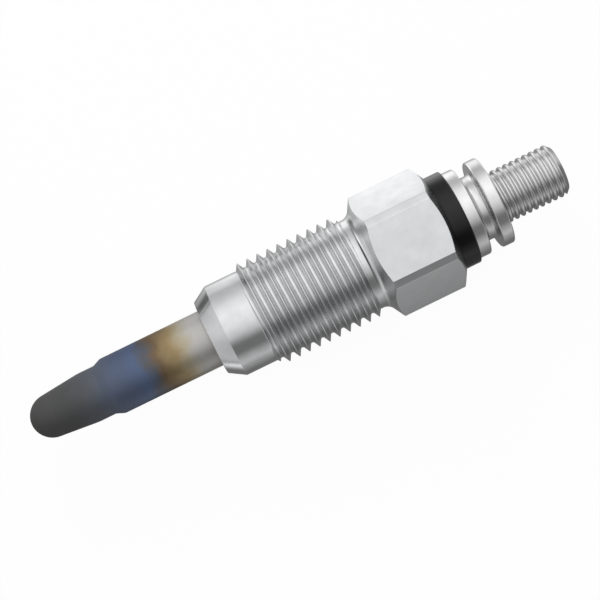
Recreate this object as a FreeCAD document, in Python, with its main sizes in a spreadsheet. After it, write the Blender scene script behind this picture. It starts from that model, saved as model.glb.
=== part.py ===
"""A sheathed diesel glow plug. Its axis is X, with the terminal at +X and the heating tip at -X.
The origin lies on the axis, level with the outer edge of the sealing cone. Two hexagon flats face up
and down."""
import FreeCAD, Part
import math
import os

import Sketcher

# Driving sizes in mm, and angles in degrees, by piece
SIZES = {
    "threaded body": {
        "cone_length": 1.76,
        "cone_angle": 63.0,
        "pilot_diameter": 10.62,
        "pilot_length": 3.64,
        "thread_diameter": 12.0,
        "thread_pitch": 1.25,
        "thread_length": 12.44,
        "thread_bevel": 0.68,
        "neck_length": 0.35,
        "neck_fillet": 1.12,
        "hexagon_across_flats": 12.73,
        "hexagon_length": 7.2,
        "corner_turning": 0.25,
        "bevel_angle": 30.0,
        "end_ledge": 0.16,
        "pocket_depth": 3.2,
    },
    "glow tube": {
        "tip_reach": 21.45,
        "tip_radius": 2.42,
        "taper_angle": 5.6,
        "slim_diameter": 5.7,
        "slim_length": 2.0,
        "shoulder_length": 0.95,
        "tube_diameter": 6.49,
        "tube_wall": 0.55,
        "tip_wall": 1.4,
        "tube_depth": 13.7,
        "tube_seal_length": 2.6,
    },
    "coils": {
        "wire_width": 0.4,
        "powder_wall": 0.4,
        "lead_length": 0.8,
        "heating_length": 6.0,
        "heating_turns": 5,
        "regulating_turns": 6,
        "wrap_length": 3.0,
    },
    "terminal stud": {
        "nose_reach": 6.3,
        "nose_spare": 0.7,
        "rod_diameter": 3.2,
        "rod_overhang": 0.6,
        "shank_diameter": 4.0,
        "terminal_diameter": 6.0,
        "terminal_pitch": 0.75,
        "terminal_length": 7.77,
        "terminal_bevel": 0.5,
    },
    "washer, seal and nut": {
        "seal_width": 1.5,
        "washer_diameter": 10.84,
        "washer_thickness": 1.89,
        "collar_length": 1.5,
        "nut_diameter": 10.08,
        "nut_flange": 1.4,
        "nut_groove": 1.4,
        "nut_neck_diameter": 7.44,
        "nut_bevel": 0.35,
    },
    "shared": {
        "fit": 0.02,
        "slip": 0.1,
    },
}

# Radii of the threaded body, as formulas of the sheet
THREAD_RADIUS = "size.thread_diameter / 2"
ROOT_RADIUS = "(size.thread_diameter / 2 - 0.6134 * size.thread_pitch)"
CONE_RADIUS = "(size.pilot_diameter / 2 - size.cone_length * tan(size.cone_angle / 2))"
CORNER_RADIUS = "(size.hexagon_across_flats / sqrt(3) - size.corner_turning)"
END_RADIUS = "(size.washer_diameter / 2 + size.end_ledge)"
BORE_RADIUS = "(size.tube_diameter / 2 + size.fit)"

# Places along the body, each from the one before
FRONT = "-size.cone_length"
THREAD_END = "(size.pilot_length + size.thread_length)"
TANGENT = "(size.neck_fillet * tan((90 - size.bevel_angle) / 2))"
CONE_FOOT = f"({THREAD_END} + size.neck_length + {TANGENT})"
BEVEL_START = f"({CONE_FOOT} + {TANGENT} * sin(size.bevel_angle))"
BEVEL_RADIUS = f"({ROOT_RADIUS} + {TANGENT} * cos(size.bevel_angle))"
HEXAGON_START = f"({CONE_FOOT} + ({CORNER_RADIUS} - {ROOT_RADIUS}) * tan(size.bevel_angle))"
HEXAGON_END = f"({HEXAGON_START} + size.hexagon_length)"
BODY_END = f"({HEXAGON_END} + ({CORNER_RADIUS} - {END_RADIUS}) * tan(size.bevel_angle))"
POCKET_FLOOR = f"({BODY_END} - size.pocket_depth)"

# Radii and places of the glow tube
TUBE_RADIUS = "size.tube_diameter / 2"
SLIM_RADIUS = "size.slim_diameter / 2"
DOME_RADIUS = "(size.tip_radius * cos(size.taper_angle))"
TUBE_BORE = "(size.tube_diameter / 2 - size.tube_wall)"
SLIM_BORE = "(size.slim_diameter / 2 - size.tube_wall)"
TIP_BORE = f"({DOME_RADIUS} - size.tube_wall)"
TIP = f"({FRONT} - size.tip_reach)"
TIP_FLOOR = f"({TIP} + size.tip_wall)"
DOME_END = f"({TIP} + size.tip_radius * (1 - sin(size.taper_angle)))"
TAPER_END = f"({DOME_END} + ({SLIM_RADIUS} - {DOME_RADIUS}) / tan(size.taper_angle))"
SLIM_END = f"({TAPER_END} + size.slim_length)"
SHOULDER_END = f"({SLIM_END} + size.shoulder_length)"
TUBE_REAR = f"({FRONT} + size.tube_depth)"
SEAL_FRONT = f"({TUBE_REAR} - size.tube_seal_length)"

# The coils lie on one radius, and the stud's nose fits inside the last turns. Each turn is drawn as
# straight steps of an eight-sided wire, so that the many turns stay light.
TURN_STEPS = 10
WIRE_SIDES = 8
COIL_RADIUS = f"({TIP_BORE} - size.powder_wall - size.wire_width / 2)"
CORE_RADIUS = f"(({COIL_RADIUS} - size.wire_width / 2) * cos(180 / {TURN_STEPS}) - size.fit / 2)"
CHANNEL_RADIUS = f"({COIL_RADIUS} + size.wire_width / 2 + size.fit / 2)"
NOSE_RADIUS = f"({CORE_RADIUS} - size.fit / 2)"
COIL_START = f"({TIP_FLOOR} + size.lead_length)"
COILS_MEET = f"({COIL_START} + size.heating_length)"
NOSE_START = f"({FRONT} - size.nose_reach)"
COIL_END = f"({NOSE_START} + size.wrap_length)"
NOSE_END = f"({COIL_END} + size.nose_spare)"

# The stud is plain at its thread's pitch radius where the washer, the seal and the nut sit on it
TERMINAL_RADIUS = "size.terminal_diameter / 2"
LAND_RADIUS = "(size.terminal_diameter / 2 - 0.3248 * size.terminal_pitch)"
POCKET_RADIUS = f"({LAND_RADIUS} + size.seal_width)"
COLLAR_START = f"({BODY_END} - size.collar_length)"
WASHER_END = f"({BODY_END} + size.washer_thickness)"
GROOVE_START = f"({WASHER_END} + size.nut_flange)"
GROOVE_END = f"({GROOVE_START} + size.nut_groove)"
NUT_END = f"({GROOVE_END} + size.nut_flange)"
STUD_END = f"({NUT_END} + size.terminal_length)"


def add_sheet():
    """The spreadsheet of driving sizes, one row each."""
    sheet = doc.addObject("Spreadsheet::Sheet", "size")
    row = 1
    for piece, sizes in SIZES.items():
        sheet.set(f"A{row}", piece)
        row += 1
        for alias, value in sizes.items():
            sheet.set(f"A{row}", alias)
            sheet.set(f"B{row}", str(value))
            sheet.setAlias(f"B{row}", alias)
            row += 1
    doc.recompute()


def new_body(name):
    body = doc.addObject("PartDesign::Body", name)
    body.Label = name
    return body


def new_sketch(body, name, role="XY_Plane"):
    """A sketch on one of the body's own origin planes. On XY_Plane it runs along X and outwards."""
    sketch = body.newObject("Sketcher::SketchObject", name)
    plane = next(f for f in body.Origin.OriginFeatures if f.Role == role)
    sketch.AttachmentSupport = [(plane, "")]
    sketch.MapMode = "FlatFace"
    return sketch


def bind(sketch, constraint, formula):
    """Adds a driving constraint and ties its value to a formula of the sheet."""
    index = sketch.addConstraint(constraint)
    sketch.setExpression(f"Constraints[{index}]", formula)


def pin(sketch, side, point, x, y):
    """Fixes a point of one side of an outline at two formulas, of which "0" puts it on the axis."""
    for kind, axis, formula in (("DistanceX", -2, x), ("DistanceY", -1, y)):
        if formula == "0":
            sketch.addConstraint(Sketcher.Constraint("PointOnObject", side, point, axis))
        else:
            value = sketch.evalExpression(formula)
            bind(sketch, Sketcher.Constraint(kind, -1, 1, side, point, value), formula)


def draw_arc(sketch, here, there, radius, way):
    """An arc from here to there, and the numbers of its points at the two. It always runs
    anticlockwise, so a bulge is drawn from its far end."""
    run = there - here
    right = FreeCAD.Vector(run.y, -run.x, 0) / run.Length
    rise = math.sqrt(radius**2 - run.Length**2 / 4)
    centre = (here + there) / 2 + right * (rise if way == "out" else -rise)
    first, last = (there, here) if way == "out" else (here, there)
    angles = [math.atan2(point.y - centre.y, point.x - centre.x) for point in (first, last)]
    circle = Part.Circle(centre, FreeCAD.Vector(0, 0, 1), radius)
    sketch.addGeometry(Part.ArcOfCircle(circle, *angles), False)
    return (2, 1) if way == "out" else (1, 2)


def draw_outline(sketch, corners):
    """A closed outline through corners, clockwise. Each is (x, y), or (x, y, radius, way) where the
    side from it to the next is an arc, whose way is "out" for a bulge and "in" for a hollow."""
    places = [FreeCAD.Vector(sketch.evalExpression(c[0]), sketch.evalExpression(c[1]), 0) for c in corners]
    ends = []
    for i, (x, y, *arc) in enumerate(corners):
        here, there = places[i], places[(i + 1) % len(places)]
        if arc:
            ends.append(draw_arc(sketch, here, there, sketch.evalExpression(arc[0]), arc[1]))
        else:
            sketch.addGeometry(Part.LineSegment(here, there), False)
            ends.append((1, 2))
    for i, (x, y, *arc) in enumerate(corners):
        after = (i + 1) % len(corners)
        sketch.addConstraint(Sketcher.Constraint("Coincident", i, ends[i][1], after, ends[after][0]))
        pin(sketch, i, ends[i][0], x, y)
        if arc:
            bind(sketch, Sketcher.Constraint("Radius", i, sketch.evalExpression(arc[0])), arc[0])


def turn(body, name, corners, kind="PartDesign::Revolution"):
    """Turns an outline about the X axis, as added material or as a groove."""
    sketch = new_sketch(body, f"{name}_outline")
    draw_outline(sketch, corners)
    feature = body.newObject(kind, name)
    feature.Profile = sketch
    feature.ReferenceAxis = (sketch, ["H_Axis"])
    feature.Angle = 360


def extrude(body, name, corners, start, length, kind="PartDesign::Pad"):
    """Extrudes an outline in Y and Z towards +X, as added material or as a pocket."""
    sketch = new_sketch(body, f"{name}_outline", "YZ_Plane")
    sketch.setExpression("AttachmentOffset.Base.z", start)
    draw_outline(sketch, corners)
    feature = body.newObject(kind, name)
    feature.Profile = sketch
    feature.setExpression("Length", length)
    feature.Reversed = kind == "PartDesign::Pocket"
    return feature


def wire_corners(x, y, room="0"):
    """The corners of the wire's section about a point, clockwise, with room all round."""
    reach = f"((size.wire_width / 2 + {room}) / cos(180 / {WIRE_SIDES}))"
    turns = [f"(-360 * {side + 0.5} / {WIRE_SIDES})" for side in range(WIRE_SIDES)]
    return [(f"({x} + {reach} * cos{turn})", f"({y} + {reach} * sin{turn})") for turn in turns]


# The threaded body: a turned blank with milled flats, bored through, and a pocket for the stud seal.
# Its thread is a plain cylinder of the major diameter, bevelled at both ends.
shell_outline = [
    (FRONT, "0"),
    (FRONT, CONE_RADIUS),
    ("0", "size.pilot_diameter / 2"),
    ("size.pilot_length", "size.pilot_diameter / 2"),
    ("size.pilot_length + size.thread_bevel", THREAD_RADIUS),
    (f"{THREAD_END} - size.thread_bevel", THREAD_RADIUS),
    (THREAD_END, ROOT_RADIUS),
    (f"{CONE_FOOT} - {TANGENT}", ROOT_RADIUS, "size.neck_fillet", "in"),
    (BEVEL_START, BEVEL_RADIUS),
    (HEXAGON_START, CORNER_RADIUS),
    (HEXAGON_END, CORNER_RADIUS),
    (BODY_END, END_RADIUS),
    (BODY_END, "0"),
]
bore_outline = [
    (f"{FRONT} - 1", "0"),
    (f"{FRONT} - 1", BORE_RADIUS),
    (POCKET_FLOOR, BORE_RADIUS),
    (POCKET_FLOOR, POCKET_RADIUS),
    (f"{BODY_END} + 1", POCKET_RADIUS),
    (f"{BODY_END} + 1", "0"),
]
flat_corners = [
    (f"-{CORNER_RADIUS}", "size.hexagon_across_flats / 2"),
    (f"-{CORNER_RADIUS}", f"{CORNER_RADIUS} + 1"),
    (CORNER_RADIUS, f"{CORNER_RADIUS} + 1"),
    (CORNER_RADIUS, "size.hexagon_across_flats / 2"),
]


def make_shell():
    body = new_body("shell")
    turn(body, "turned_blank", shell_outline)
    length = f"{BODY_END} - {THREAD_END} + 1"
    flat = extrude(body, "flat", flat_corners, THREAD_END, length, "PartDesign::Pocket")
    flats = body.newObject("PartDesign::PolarPattern", "hexagon_flats")
    flats.Originals = [flat]
    flats.Axis = (flat.Profile[0], ["N_Axis"])
    flats.Occurrences = 6
    body.Tip = flats
    turn(body, "bore", bore_outline, "PartDesign::Groove")


# The sheath: a drawn tube with a domed end, a taper and a shoulder where it widens
tube_outline = [
    (TIP, "0", "size.tip_radius", "out"),
    (DOME_END, DOME_RADIUS),
    (TAPER_END, SLIM_RADIUS),
    (SLIM_END, SLIM_RADIUS),
    (SHOULDER_END, TUBE_RADIUS),
    (TUBE_REAR, TUBE_RADIUS),
    (TUBE_REAR, TUBE_BORE),
    (SHOULDER_END, TUBE_BORE),
    (SLIM_END, SLIM_BORE),
    (DOME_END, TIP_BORE),
    (TIP_FLOOR, TIP_BORE),
    (TIP_FLOOR, "0"),
]


def make_glow_tube():
    turn(new_body("glow_tube"), "sheath", tube_outline)


# Two coils in line, welded end to end. The first has a straight lead to the floor of the tip, and the
# last turns of the second grip the stud's nose.
def value(formula):
    return doc.getObject("size").evalExpression(formula)


def coil_shape(start, end, turns_before, turns):
    """A solid through sections of the wire, carried round the axis step by step."""
    points = [FreeCAD.Vector(value(x), value(y), 0) for x, y in wire_corners(start, COIL_RADIUS)]
    steps = round(turns * TURN_STEPS)
    sections = []
    for step in range(steps + 1):
        section = Part.makePolygon(points + points[:1])
        section.translate(FreeCAD.Vector((value(end) - value(start)) * step / steps, 0, 0))
        section.rotate(FreeCAD.Vector(), FreeCAD.Vector(1, 0, 0), 360 * (turns_before + turns * step / steps))
        sections.append(section)
    return Part.makeLoft(sections, True, True)


def make_coils():
    heating_turns, regulating_turns = value("size.heating_turns"), value("size.regulating_turns")
    section = wire_corners(COIL_RADIUS, "0")
    points = [FreeCAD.Vector(value(TIP_FLOOR), value(y), value(z)) for y, z in section]
    face = Part.Face(Part.makePolygon(points + points[:1]))
    lead = face.extrude(FreeCAD.Vector(value("size.lead_length + size.wire_width / 2"), 0, 0))
    heating = doc.addObject("Part::Feature", "heating_coil")
    heating.Shape = coil_shape(COIL_START, COILS_MEET, 0, heating_turns).fuse(lead)
    regulating = doc.addObject("Part::Feature", "regulating_coil")
    regulating.Shape = coil_shape(COILS_MEET, COIL_END, heating_turns, regulating_turns)


# The packed powder fills the tube. The coils lie in a ring-shaped channel of the wire's width.
filling_outline = [
    (TIP_FLOOR, "0"),
    (TIP_FLOOR, f"{TIP_BORE} - size.fit"),
    (DOME_END, f"{TIP_BORE} - size.fit"),
    (SLIM_END, f"{SLIM_BORE} - size.fit"),
    (SHOULDER_END, f"{TUBE_BORE} - size.fit"),
    (SEAL_FRONT, f"{TUBE_BORE} - size.fit"),
    (SEAL_FRONT, "0"),
]
rod_hole_outline = [
    (NOSE_START, "0"),
    (NOSE_START, CORE_RADIUS),
    (f"{NOSE_END} - size.fit", CORE_RADIUS),
    (f"{NOSE_END} - size.fit", "size.rod_diameter / 2 + size.fit"),
    (f"{SEAL_FRONT} + 1", "size.rod_diameter / 2 + size.fit"),
    (f"{SEAL_FRONT} + 1", "0"),
]
channel_outline = [
    (f"{COIL_START} - size.wire_width / 2 - size.fit", CORE_RADIUS),
    (f"{COIL_START} - size.wire_width / 2 - size.fit", CHANNEL_RADIUS),
    (f"{COIL_END} + size.wire_width / 2 + size.fit", CHANNEL_RADIUS),
    (f"{COIL_END} + size.wire_width / 2 + size.fit", CORE_RADIUS),
]


def make_filling():
    body = new_body("magnesia_filling")
    turn(body, "powder", filling_outline)
    turn(body, "rod_hole", rod_hole_outline, "PartDesign::Groove")
    turn(body, "coil_channel", channel_outline, "PartDesign::Groove")
    hole = wire_corners(COIL_RADIUS, "0", "size.fit")
    extrude(body, "lead_hole", hole, TIP_FLOOR, "size.lead_length", "PartDesign::Pocket")


# The stud: a nose for the coil, a rod in the tube, a shank in the body, and the terminal thread as a
# plain cylinder of its major diameter
stud_outline = [
    (NOSE_START, "0"),
    (NOSE_START, NOSE_RADIUS),
    (NOSE_END, NOSE_RADIUS),
    (NOSE_END, "size.rod_diameter / 2"),
    (f"{TUBE_REAR} + size.rod_overhang", "size.rod_diameter / 2"),
    (f"{TUBE_REAR} + size.rod_overhang", "size.shank_diameter / 2"),
    (f"{POCKET_FLOOR} + size.fit", "size.shank_diameter / 2"),
    (f"{POCKET_FLOOR} + size.fit", LAND_RADIUS),
    (NUT_END, LAND_RADIUS),
    (NUT_END, TERMINAL_RADIUS),
    (f"{STUD_END} - size.terminal_bevel", TERMINAL_RADIUS),
    (STUD_END, f"{TERMINAL_RADIUS} - size.terminal_bevel"),
    (STUD_END, "0"),
]


def make_stud():
    turn(new_body("terminal_stud"), "turned_stud", stud_outline)


# A bush of soft rubber closes the rear of the tube, and a ring of the same rubber seals the stud in
# the body's pocket
tube_seal_outline = [
    (SEAL_FRONT, "size.rod_diameter / 2 + size.fit"),
    (SEAL_FRONT, f"{TUBE_BORE} - size.fit"),
    (TUBE_REAR, f"{TUBE_BORE} - size.fit"),
    (TUBE_REAR, "size.rod_diameter / 2 + size.fit"),
]
stud_seal_outline = [
    (f"{POCKET_FLOOR} + size.fit", f"{LAND_RADIUS} + size.fit"),
    (f"{POCKET_FLOOR} + size.fit", f"{POCKET_RADIUS} - size.fit"),
    (f"{COLLAR_START} - size.fit", f"{POCKET_RADIUS} - size.fit"),
    (f"{COLLAR_START} - size.fit", f"{LAND_RADIUS} + size.fit"),
]


def make_seals():
    turn(new_body("tube_seal"), "bush", tube_seal_outline)
    turn(new_body("stud_seal"), "ring", stud_seal_outline)


# The insulating washer lies on the body's end face, and its collar centres it in the pocket
washer_outline = [
    (COLLAR_START, f"{LAND_RADIUS} + size.slip"),
    (COLLAR_START, f"{POCKET_RADIUS} - size.slip"),
    (BODY_END, f"{POCKET_RADIUS} - size.slip"),
    (BODY_END, "size.washer_diameter / 2"),
    (WASHER_END, "size.washer_diameter / 2"),
    (WASHER_END, f"{LAND_RADIUS} + size.slip"),
]


def make_washer():
    turn(new_body("insulating_washer"), "moulded_washer", washer_outline)


# The grooved nut clamps the washer. Its mouth is countersunk round the terminal thread.
nut_outline = [
    (WASHER_END, "size.nut_diameter / 2"),
    (GROOVE_START, "size.nut_diameter / 2"),
    (GROOVE_START, "size.nut_neck_diameter / 2 + size.nut_bevel"),
    (f"{GROOVE_START} + size.nut_bevel", "size.nut_neck_diameter / 2"),
    (f"{GROOVE_END} - size.nut_bevel", "size.nut_neck_diameter / 2"),
    (GROOVE_END, "size.nut_neck_diameter / 2 + size.nut_bevel"),
    (GROOVE_END, "size.nut_diameter / 2"),
    (NUT_END, "size.nut_diameter / 2"),
    (NUT_END, f"{TERMINAL_RADIUS} + size.slip"),
    (f"{NUT_END} - {TERMINAL_RADIUS} - size.slip + {LAND_RADIUS} + size.fit", f"{LAND_RADIUS} + size.fit"),
    (WASHER_END, f"{LAND_RADIUS} + size.fit"),
]


def make_nut():
    turn(new_body("collar_nut"), "turned_nut", nut_outline)


def write_parts():
    """Checks every object and writes one file for each body."""
    doc.recompute()
    for thing in doc.Objects:
        if "Invalid" in thing.State or "Error" in thing.State:
            raise RuntimeError(f"{thing.Name} failed: {thing.State}")
    os.makedirs("parts", exist_ok=True)
    pieces = [thing for thing in doc.RootObjects if thing.TypeId in ("PartDesign::Body", "Part::Feature")]
    for piece in pieces:
        shape = piece.Shape
        if shape.isNull() or not shape.isValid() or len(shape.Solids) != 1:
            raise RuntimeError(f"{piece.Label} isn't one sound solid")
        shape.exportStep(f"parts/{piece.Label}.step")
        print(f"{piece.Label}: {shape.Volume:.2f} mm3, {len(shape.Faces)} faces")


doc = FreeCAD.newDocument("glow_plug")
add_sheet()
make_shell()
make_glow_tube()
make_coils()
make_filling()
make_stud()
make_seals()
make_washer()
make_nut()
write_parts()
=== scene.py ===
import math

import bpy
from mathutils import Matrix, Vector


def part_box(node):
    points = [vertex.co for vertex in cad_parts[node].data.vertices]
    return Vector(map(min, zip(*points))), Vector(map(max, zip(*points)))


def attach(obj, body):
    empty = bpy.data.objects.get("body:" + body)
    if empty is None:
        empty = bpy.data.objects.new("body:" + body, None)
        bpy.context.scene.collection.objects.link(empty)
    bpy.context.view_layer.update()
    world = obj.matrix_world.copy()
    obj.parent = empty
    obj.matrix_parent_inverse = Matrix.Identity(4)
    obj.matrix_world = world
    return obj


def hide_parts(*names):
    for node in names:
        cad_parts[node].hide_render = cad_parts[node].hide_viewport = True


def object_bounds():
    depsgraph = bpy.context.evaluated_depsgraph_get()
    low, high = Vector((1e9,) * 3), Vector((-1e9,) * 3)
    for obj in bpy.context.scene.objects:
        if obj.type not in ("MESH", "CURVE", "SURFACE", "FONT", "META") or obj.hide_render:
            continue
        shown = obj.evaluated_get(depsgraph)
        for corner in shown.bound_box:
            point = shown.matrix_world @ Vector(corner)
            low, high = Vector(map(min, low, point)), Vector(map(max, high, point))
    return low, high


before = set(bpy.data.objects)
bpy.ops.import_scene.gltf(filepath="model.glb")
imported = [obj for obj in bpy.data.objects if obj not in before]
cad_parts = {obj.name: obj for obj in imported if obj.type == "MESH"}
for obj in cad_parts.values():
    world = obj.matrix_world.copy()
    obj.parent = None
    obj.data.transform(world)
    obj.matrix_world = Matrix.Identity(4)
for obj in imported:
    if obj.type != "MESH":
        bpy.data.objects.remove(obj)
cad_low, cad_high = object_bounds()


# The glow tube: a sheath of heat-resisting nickel alloy, drawn and swaged, with a domed tip, a long
# taper and a shoulder where it widens. Its wide end is pressed into the threaded body, and the heat
# of use has coloured it from soot grey at the tip through blue and straw to bare metal.
MM = 0.001
STEPS_ROUND = 144
DEGREES_PER_STEP = 8
MERGE_DISTANCE = 0.00001
SMOOTH_ANGLE = 32


def draw_wire(name, corners):
    """A wire above the axis through corners (x, radius, rounding), all in mm."""
    points = [Vector((x * MM, 0, radius * MM)) for x, radius, _ in corners]
    bpy.ops.mesh.primitive_plane_add(size=MM, location=(0, 0, 0))
    wire = bpy.context.object
    wire.name = wire.data.name = name
    bpy.ops.object.mode_set(mode="EDIT")
    bpy.ops.mesh.select_mode(type="VERT")
    bpy.ops.mesh.merge(type="CENTER")
    bpy.ops.transform.translate(value=points[0])
    for here, there in zip(points, points[1:]):
        bpy.ops.mesh.extrude_region_move(TRANSFORM_OT_translate={"value": there - here})
    for before, here, after, corner in zip(points, points[1:], points[2:], corners[1:]):
        if corner[2] > 0:
            turn = (here - before).angle(after - here)
            bpy.ops.mesh.select_all(action="DESELECT")
            bpy.ops.object.mode_set(mode="OBJECT")
            nearest = min(wire.data.vertices, key=lambda vertex: (vertex.co - here).length)
            nearest.select = True
            bpy.ops.object.mode_set(mode="EDIT")
            bpy.ops.mesh.bevel(
                offset=corner[2] * MM * math.tan(turn / 2),
                segments=max(2, round(math.degrees(turn) / DEGREES_PER_STEP)),
                affect="VERTICES",
                clamp_overlap=False,
            )
    bpy.ops.object.mode_set(mode="OBJECT")
    return wire


def select_only(piece):
    """Makes a piece the one selected and active object."""
    bpy.ops.object.select_all(action="DESELECT")
    piece.select_set(True)
    bpy.context.view_layer.objects.active = piece


def close_up(piece, merge=MERGE_DISTANCE):
    """Merges what coincides and turns the faces outwards."""
    select_only(piece)
    bpy.ops.object.mode_set(mode="EDIT")
    bpy.ops.mesh.select_all(action="SELECT")
    bpy.ops.mesh.remove_doubles(threshold=merge * MM)
    bpy.ops.mesh.dissolve_degenerate(threshold=merge * MM)
    bpy.ops.mesh.normals_make_consistent(inside=False)
    bpy.ops.object.mode_set(mode="OBJECT")


def lathe(name, corners):
    """Spins a wire about the axis."""
    piece = draw_wire(name, corners)
    bpy.ops.object.mode_set(mode="EDIT")
    bpy.ops.mesh.select_all(action="SELECT")
    bpy.ops.mesh.spin(steps=STEPS_ROUND, angle=math.tau, center=(0, 0, 0), axis=(1, 0, 0))
    bpy.ops.object.mode_set(mode="OBJECT")
    close_up(piece)
    return piece


def finish_piece(piece, node, slot, *materials, smooth=SMOOTH_ANGLE):
    """Smooth shading up to an angle, the finish, and the node it stands for."""
    select_only(piece)
    bpy.ops.object.shade_smooth_by_angle(angle=math.radians(smooth))
    weighted = piece.modifiers.new("weighted", "WEIGHTED_NORMAL")
    weighted.keep_sharp = True
    bpy.ops.object.modifier_apply(modifier="weighted")
    for material in materials:
        piece.data.materials.append(material)
    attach(piece, "root")
    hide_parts(node)


def extent(node):
    """A node's least x, greatest x and greatest radius in mm."""
    low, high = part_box(node)
    return low.x / MM, high.x / MM, high.y / MM


def new_group(name, inputs, outputs):
    """An empty shader node group with sockets (name, kind, default)."""
    group = bpy.data.node_groups.new(name, "ShaderNodeTree")
    for label, kind, default in inputs:
        socket = group.interface.new_socket(label, in_out="INPUT", socket_type=kind)
        if default is not None:
            socket.default_value = default
    for label, kind in outputs:
        group.interface.new_socket(label, in_out="OUTPUT", socket_type=kind)
    return group, group.nodes.new("NodeGroupInput"), group.nodes.new("NodeGroupOutput")


def place_group(tree, group, **values):
    """A node group placed in a tree, with values for its inputs."""
    node = tree.nodes.new("ShaderNodeGroup")
    node.node_tree = group
    for label, value in values.items():
        node.inputs[label.replace("_", " ")].default_value = value
    return node


def feed(tree, socket, source):
    """Links a socket to another one, or gives it a value."""
    if isinstance(source, bpy.types.NodeSocket):
        tree.links.new(source, socket)
    else:
        socket.default_value = source


def math_node(tree, operation, first, second=None):
    """A Math node whose inputs are sockets or numbers."""
    node = tree.nodes.new("ShaderNodeMath")
    node.operation = operation
    for socket, source in zip(node.inputs, (first, second)):
        if source is not None:
            feed(tree, socket, source)
    return node.outputs[0]


def vector_node(tree, operation, *sources):
    """A Vector Math node fed by sockets."""
    node = tree.nodes.new("ShaderNodeVectorMath")
    node.operation = operation
    for socket, source in zip(node.inputs, sources):
        tree.links.new(source, socket)
    return node


def scaled(tree, colour, factor):
    """A colour times a value."""
    node = vector_node(tree, "SCALE", colour)
    tree.links.new(factor, node.inputs["Scale"])
    return node.outputs[0]


def split(tree, vector):
    """The X, Y and Z of a vector."""
    node = tree.nodes.new("ShaderNodeSeparateXYZ")
    tree.links.new(vector, node.inputs[0])
    return node.outputs


def gather(tree, **parts):
    """A vector from sockets that are named by their axis."""
    node = tree.nodes.new("ShaderNodeCombineXYZ")
    for axis, source in parts.items():
        tree.links.new(source, node.inputs[axis])
    return node.outputs[0]


def object_place(tree):
    """The place on an object, in metres."""
    return tree.nodes.new("ShaderNodeTexCoord").outputs["Object"]


def add_noise(tree, place, scale, detail):
    """A noise texture, whose scale is a socket or a number."""
    noise = tree.nodes.new("ShaderNodeTexNoise")
    noise.inputs["Detail"].default_value = detail
    feed(tree, noise.inputs["Scale"], scale)
    tree.links.new(place, noise.inputs["Vector"])
    return noise


def map_range(tree, source, first, last, low=0, high=1, smooth=False):
    """Maps first to last onto low to high, and holds the value beyond both."""
    node = tree.nodes.new("ShaderNodeMapRange")
    if smooth:
        node.interpolation_type = "SMOOTHSTEP"
    for label, value in (("From Min", first), ("From Max", last), ("To Min", low), ("To Max", high)):
        node.inputs[label].default_value = value
    tree.links.new(source, node.inputs["Value"])
    return node.outputs["Result"]


NOISE_MIDDLE = (0.3, 0.7)


def between(tree, source, low, high):
    """Maps the middle of a noise's values onto low to high."""
    return map_range(tree, source, *NOISE_MIDDLE, low, high)


def ramp_colours(tree, source, entries):
    """Colours along a value: entries are (value, colour), in rising order."""
    first, last = entries[0][0], entries[-1][0]
    ramp = tree.nodes.new("ShaderNodeValToRGB")
    stops = ramp.color_ramp.elements
    for value, colour in entries[1:-1]:
        stops.new((value - first) / (last - first)).color = (*colour, 1)
    stops[0].color = (*entries[0][1], 1)
    stops[len(stops) - 1].color = (*entries[-1][1], 1)
    tree.links.new(map_range(tree, source, first, last), ramp.inputs["Fac"])
    return ramp.outputs["Color"]


def new_material(name):
    """A material with its node tree and its shader."""
    material = bpy.data.materials.new(name)
    material.use_nodes = True
    return material, material.node_tree, material.node_tree.nodes["Principled BSDF"]


def add_bump(tree, shader, height, depth, strength=1.0):
    """Feeds a height, of which 1 stands for depth in mm, to the shader's normal."""
    bump = tree.nodes.new("ShaderNodeBump")
    bump.inputs["Strength"].default_value = strength
    bump.inputs["Distance"].default_value = depth * MM
    tree.links.new(height, bump.inputs["Height"])
    tree.links.new(bump.outputs["Normal"], shader.inputs["Normal"])


WANDER_SCALE = 260
RING_WANDER = 0.06
RING_DETAIL = 3
RING_ROUGHNESS = 0.6
CLOUD_DETAIL = 4


def turned_surface():
    """Fine rings left by the lathe: Lines is 0 to 1 across them, and Cloud is a soft slow variation."""
    group, given, result = new_group(
        "turned_surface",
        [("Ring Width", "NodeSocketFloat", 0.05), ("Cloud Size", "NodeSocketFloat", 2.0)],
        [("Lines", "NodeSocketFloat"), ("Cloud", "NodeSocketFloat")],
    )
    place = object_place(group)
    parts = split(group, place)
    radius = vector_node(group, "LENGTH", gather(group, Y=parts["Y"], Z=parts["Z"])).outputs["Value"]
    wander = add_noise(group, place, WANDER_SCALE, 1)
    drift = math_node(group, "MULTIPLY", wander.outputs["Fac"], RING_WANDER * MM)
    scale = math_node(group, "DIVIDE", 1 / MM, given.outputs["Ring Width"])
    along = math_node(group, "MULTIPLY", math_node(group, "ADD", parts["X"], drift), scale)
    outward = math_node(group, "MULTIPLY", radius, scale)
    lines = add_noise(group, gather(group, X=along, Y=outward), 1, RING_DETAIL)
    lines.noise_dimensions = "2D"
    lines.inputs["Roughness"].default_value = RING_ROUGHNESS
    cloud_scale = math_node(group, "DIVIDE", 1 / MM, given.outputs["Cloud Size"])
    cloud = add_noise(group, place, cloud_scale, CLOUD_DETAIL)
    group.links.new(lines.outputs["Fac"], result.inputs["Lines"])
    group.links.new(cloud.outputs["Fac"], result.inputs["Cloud"])
    return group


lathe_marks = turned_surface()

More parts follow.
